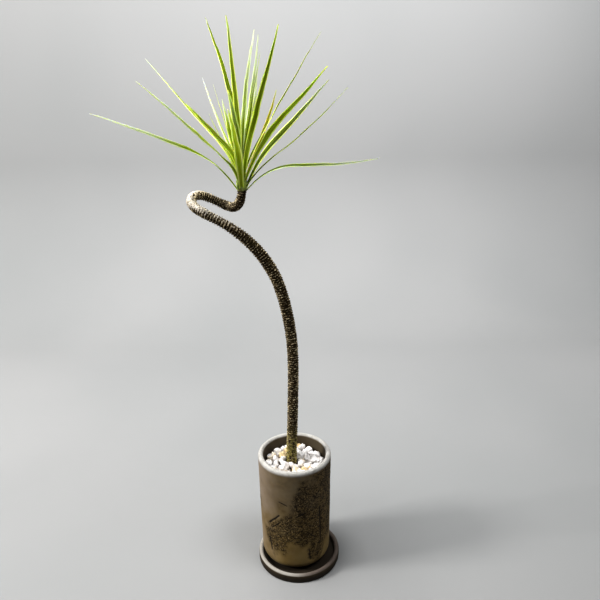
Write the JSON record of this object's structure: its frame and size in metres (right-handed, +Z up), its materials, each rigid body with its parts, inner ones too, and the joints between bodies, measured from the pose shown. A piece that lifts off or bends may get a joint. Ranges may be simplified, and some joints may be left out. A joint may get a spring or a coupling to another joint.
{
  "type": "potted dracaena",
  "caption": "Dracaena with a long bare trunk trained into an arch and a loop, carrying a crown of stiff narrow leaves, in a tall round stoneware pot on a saucer.",
  "frame": {"origin": "centre of the saucer's flat underside, on the surface that the plant stands on", "axes": "+Z up; -Y is the side that the plant is looked at from, where the trunk's loop lies to the left (towards -X) of the pot"},
  "size_m": [0.3627, 0.3581, 0.8669],
  "materials": {
    "stoneware": "matte",
    "soil": "matte",
    "bark": "matte",
    "leaf_green": "satin",
    "white_stone": "matte",
    "ochre_stone": "matte",
    "grey_stone": "matte"
  },
  "bodies": {
    "root": {"saucer": "stoneware", "pot": "stoneware", "potting_soil": "soil", "trunk": "bark", "growing_tip": "leaf_green", "leaf_01": "leaf_green", "leaf_02": "leaf_green", "leaf_03": "leaf_green", "leaf_04": "leaf_green", "leaf_05": "leaf_green", "leaf_06": "leaf_green", "leaf_07": "leaf_green", "leaf_08": "leaf_green", "leaf_09": "leaf_green", "leaf_10": "leaf_green", "leaf_11": "leaf_green", "leaf_12": "leaf_green", "leaf_13": "leaf_green", "leaf_14": "leaf_green", "leaf_15": "leaf_green", "leaf_16": "leaf_green", "leaf_17": "leaf_green", "leaf_18": "leaf_green", "leaf_19": "leaf_green", "leaf_20": "leaf_green", "leaf_21": "leaf_green", "leaf_22": "leaf_green", "leaf_23": "leaf_green", "leaf_24": "leaf_green", "leaf_25": "leaf_green", "stone_01": "white_stone", "stone_02": "white_stone", "stone_03": "white_stone", "stone_04": "white_stone", "stone_05": "ochre_stone", "stone_06": "white_stone", "stone_07": "white_stone", "stone_08": "grey_stone", "stone_09": "white_stone", "stone_10": "white_stone", "stone_11": "ochre_stone", "stone_12": "white_stone", "stone_13": "white_stone", "stone_14": "white_stone", "stone_15": "white_stone", "stone_16": "white_stone", "stone_17": "ochre_stone", "stone_18": "white_stone", "stone_19": "grey_stone", "stone_20": "white_stone", "stone_21": "white_stone", "stone_22": "white_stone", "stone_23": "ochre_stone", "stone_24": "white_stone", "stone_25": "white_stone"}
  },
  "joints": []
}
